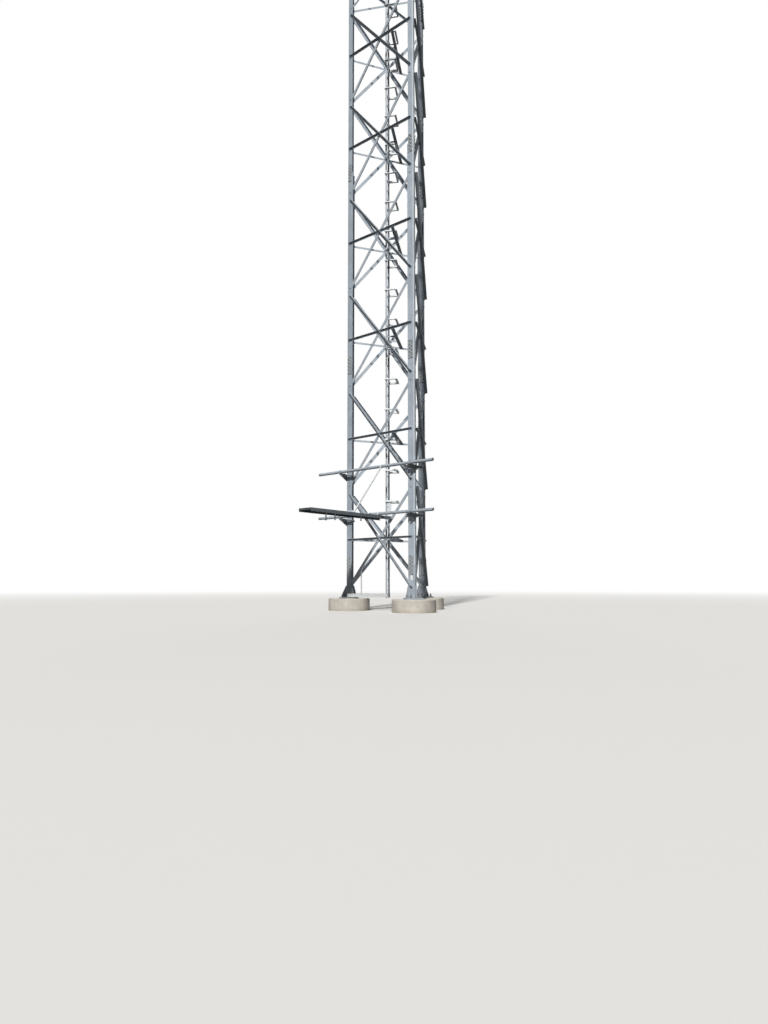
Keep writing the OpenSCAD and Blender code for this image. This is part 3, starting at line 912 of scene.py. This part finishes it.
def shoe_welds(i):
    piece = Piece("shoe_welds_" + "abc"[i])
    base = leg(i) @ move(0, 0, PIER_H + SHOE_T)
    for flange in (base, base @ turn(60) @ MIRROR_Y):
        bead(piece, flange @ move(FLANGE_WELD_START, 0, 0) @ MIRROR_Y, FLANGE_WELD_L)
        for side in (-1, 1):
            m = flange @ move(EDGE_WELD_START, LEG_T / 2 + side * GUSSET_HALF_T, 0)
            bead(piece, m if side > 0 else m @ MIRROR_Y, EDGE_WELD_L)
    heel = base @ turn(210) @ move(-HEEL, 0, 0)
    for side in (-1, 1):
        m = heel @ move(HEEL_WELD_START, side * GUSSET_HALF_T, 0)
        bead(piece, m if side > 0 else m @ MIRROR_Y, HEEL_WELD_L)
    piece.done(fastener)


for i in range(3):
    shoe_welds(i)


# Sleeves and nuts on the rods under the deck
SLEEVE_R = 0.017
SLEEVE_IN_R = 0.0085
SLEEVE_CHAMFER = 0.002
SLEEVE_ROD_END = 0.030
SLEEVE_NUT_D = 0.022
SLEEVE_NUT_H = 0.013
SLEEVE_NUT_GAP = 0.001


def rod_sleeves():
    piece = Piece("rod_sleeves")
    c = SLEEVE_CHAMFER
    for y, shorter in HUNG_RODS:
        m = face(0) @ move(DECK_W / 2 - DECK_LIP / 2, y, DECK_TOP_Z - DECK_H)
        low = SLEEVE_ROD_END - HUNG_ROD_L + shorter
        profile = [(SLEEVE_IN_R, low), (SLEEVE_R, low + c), (SLEEVE_R, -2 * c), (SLEEVE_IN_R, -c)]
        piece.lathe(m, profile, ROD_SIDES, close_low=False, close_high=False)
        nut_z = low - SLEEVE_NUT_H - SLEEVE_NUT_GAP
        hexagon(piece, m @ move(0, 0, nut_z), SLEEVE_NUT_D, SLEEVE_NUT_H)
    piece.done(galvanised("rod_sleeve_steel", SLEEVE_COLOR, rough=0.6, stain=0.3, seed=2.9))


rod_sleeves()


# Raised grip on the deck: staggered rings, clear of the pipe's straps, the cross bar and the tie's foot
GRIP_PITCH = 0.057
GRIP_START = 0.040
GRIP_END = 0.060
GRIP_COLUMNS = 3
GRIP_RING = ((0.016, 0), (0.012, 0.0045), (0.009, 0.0045), (0.0065, 0.0005))
STRAP_CLEAR = 0.105
CROSS_CLEAR = (-0.030, 0.075)
TIE_IN = 0.110
TIE_ALONG = 0.125
TIE_CLEAR = (0.075, 0.085)


def grip_is_clear(x, y):
    from_cross = y + CROSS_OUT
    if abs(y + PIPE_OUT) < STRAP_CLEAR or CROSS_CLEAR[0] < from_cross < CROSS_CLEAR[1]:
        return False
    return abs(x - DECK_W / 2 + TIE_IN) >= TIE_CLEAR[0] or abs(from_cross - TIE_ALONG) >= TIE_CLEAR[1]


def deck_grip():
    piece = Piece("deck_grip")
    for row in range(int((DECK_OUT + DECK_IN - GRIP_END) / GRIP_PITCH)):
        y = -DECK_OUT + GRIP_START + row * GRIP_PITCH
        for column in range(-GRIP_COLUMNS, GRIP_COLUMNS + 1):
            x = (column + 0.5 * (row % 2) - 0.25) * GRIP_PITCH
            if grip_is_clear(x, y):
                piece.lathe(face(0) @ move(x, y, DECK_TOP_Z), GRIP_RING, SMALL_SIDES, close_low=False)
    piece.done(galvanised("deck_grip_steel", DECK_COLOR, rough=0.6, stain=0.3, seed=3.3))


deck_grip()


# Soft studio light: a key, a weak wide fill from behind, and an even world that shows as white
KEY_AZIMUTH = -63
KEY_HEIGHT = 37.5
KEY_STRENGTH = 3.5
KEY_SPREAD = 4.0
KEY_TINT = (1.0, 0.985, 0.96)
BACK_AZIMUTH = 128
BACK_HEIGHT = 12
BACK_STRENGTH = 1.2
BACK_SPREAD = 35
BACK_TINT = (0.95, 0.98, 1.0)
LAMP_AWAY = 30
WORLD_LEVEL = 0.11
WORLD_TINT = (0.90, 0.96, 1.0, 1)
WHITE = (1, 1, 1, 1)


def add_lamp(name, azimuth, height, strength, spread, color):
    data = bpy.data.lights.new(name, "SUN")
    data.energy = strength
    data.angle = math.radians(spread)
    data.color = color
    lamp = bpy.data.objects.new(name, data)
    towards = turn(azimuth) @ turn(-height, "Y") @ Vector((1, 0, 0))
    lamp.rotation_euler = towards.to_track_quat("Z", "Y").to_euler()
    lamp.location = towards * LAMP_AWAY
    bpy.context.scene.collection.objects.link(lamp)


def shown_rays(tree):
    """1 for the rays that show the backdrop: camera, glossy and transmission."""
    path = tree.nodes.new("ShaderNodeLightPath")
    total = path.outputs["Is Camera Ray"]
    for name in ("Is Glossy Ray", "Is Transmission Ray"):
        add = tree.nodes.new("ShaderNodeMath")
        add.operation = "MAXIMUM"
        tree.links.new(total, add.inputs[0])
        tree.links.new(path.outputs[name], add.inputs[1])
        total = add.outputs[0]
    return total


def add_background(tree, color, strength):
    made = tree.nodes.new("ShaderNodeBackground")
    made.inputs["Color"].default_value = color
    made.inputs["Strength"].default_value = strength
    return made.outputs[0]


def add_world():
    world = bpy.data.worlds.new("studio")
    bpy.context.scene.world = world
    world.use_nodes = True
    tree = world.node_tree
    tree.nodes.clear()
    mix = tree.nodes.new("ShaderNodeMixShader")
    tree.links.new(shown_rays(tree), mix.inputs[0])
    tree.links.new(add_background(tree, WORLD_TINT, WORLD_LEVEL), mix.inputs[1])
    tree.links.new(add_background(tree, WHITE, 1), mix.inputs[2])
    out = tree.nodes.new("ShaderNodeOutputWorld")
    tree.links.new(mix.outputs[0], out.inputs[0])


# Pale floor that fades into the white backdrop. What it throws back at the part is darker than it looks
FLOOR_COLOR = (0.88, 0.87, 0.85, 1)
NEAR_BOUNCE = (0.32, 0.31, 0.29, 1)
FAR_BOUNCE = (0.12, 0.118, 0.11, 1)
NEAR_RADIUS = 2.2
FAR_RADIUS = 6.0
FADE_START = 9
FADE_END = 60
FLOOR_RADII = (4, 12, 30, 80, 300)
FLOOR_COUNT = 96


def floor_mesh():
    mesh = bpy.data.meshes.new("floor")
    points = [(AXIS.x, AXIS.y, 0)]
    for r in FLOOR_RADII:
        for k in range(FLOOR_COUNT):
            s = 2 * math.pi * k / FLOOR_COUNT
            points.append((AXIS.x + r * math.cos(s), AXIS.y + r * math.sin(s), 0))
    faces = []
    for k in range(FLOOR_COUNT):
        j = (k + 1) % FLOOR_COUNT
        faces.append((0, 1 + k, 1 + j))
        for ring in range(len(FLOOR_RADII) - 1):
            a = 1 + ring * FLOOR_COUNT
            faces.append((a + k, a + FLOOR_COUNT + k, a + FLOOR_COUNT + j, a + j))
    mesh.from_pydata(points, [], faces)
    return mesh


def floor_material():
    n = Nodes("floor")
    diffuse = n.add("ShaderNodeBsdfDiffuse")
    glow = n.add("ShaderNodeEmission")
    glow.inputs["Strength"].default_value = 1
    away = n.distance(n.place(), tuple(AXIS))
    bounce = n.mix(n.span(away, NEAR_RADIUS, FAR_RADIUS), NEAR_BOUNCE, FAR_BOUNCE)
    n.put(diffuse.inputs["Color"], n.mix(shown_rays(n.tree), bounce, FLOOR_COLOR))
    far = n.add("ShaderNodeMapRange", interpolation_type="SMOOTHSTEP")
    n.link(away, far.inputs[0])
    far.inputs[1].default_value = FADE_START
    far.inputs[2].default_value = FADE_END
    mix = n.add("ShaderNodeMixShader")
    n.link(n.times(far.outputs[0], shown_rays(n.tree)), mix.inputs[0])
    n.link(diffuse.outputs[0], mix.inputs[1])
    n.link(glow.outputs[0], mix.inputs[2])
    out = n.add("ShaderNodeOutputMaterial")
    n.link(mix.outputs[0], out.inputs[0])
    return n.material


def add_floor():
    floor = bpy.data.objects.new("floor", floor_mesh())
    bpy.context.scene.collection.objects.link(floor)
    floor.data.materials.append(floor_material())


add_lamp("key", KEY_AZIMUTH, KEY_HEIGHT, KEY_STRENGTH, KEY_SPREAD, KEY_TINT)
add_lamp("back_fill", BACK_AZIMUTH, BACK_HEIGHT, BACK_STRENGTH, BACK_SPREAD, BACK_TINT)
add_world()
add_floor()
bpy.context.scene.view_settings.view_transform = "Standard"
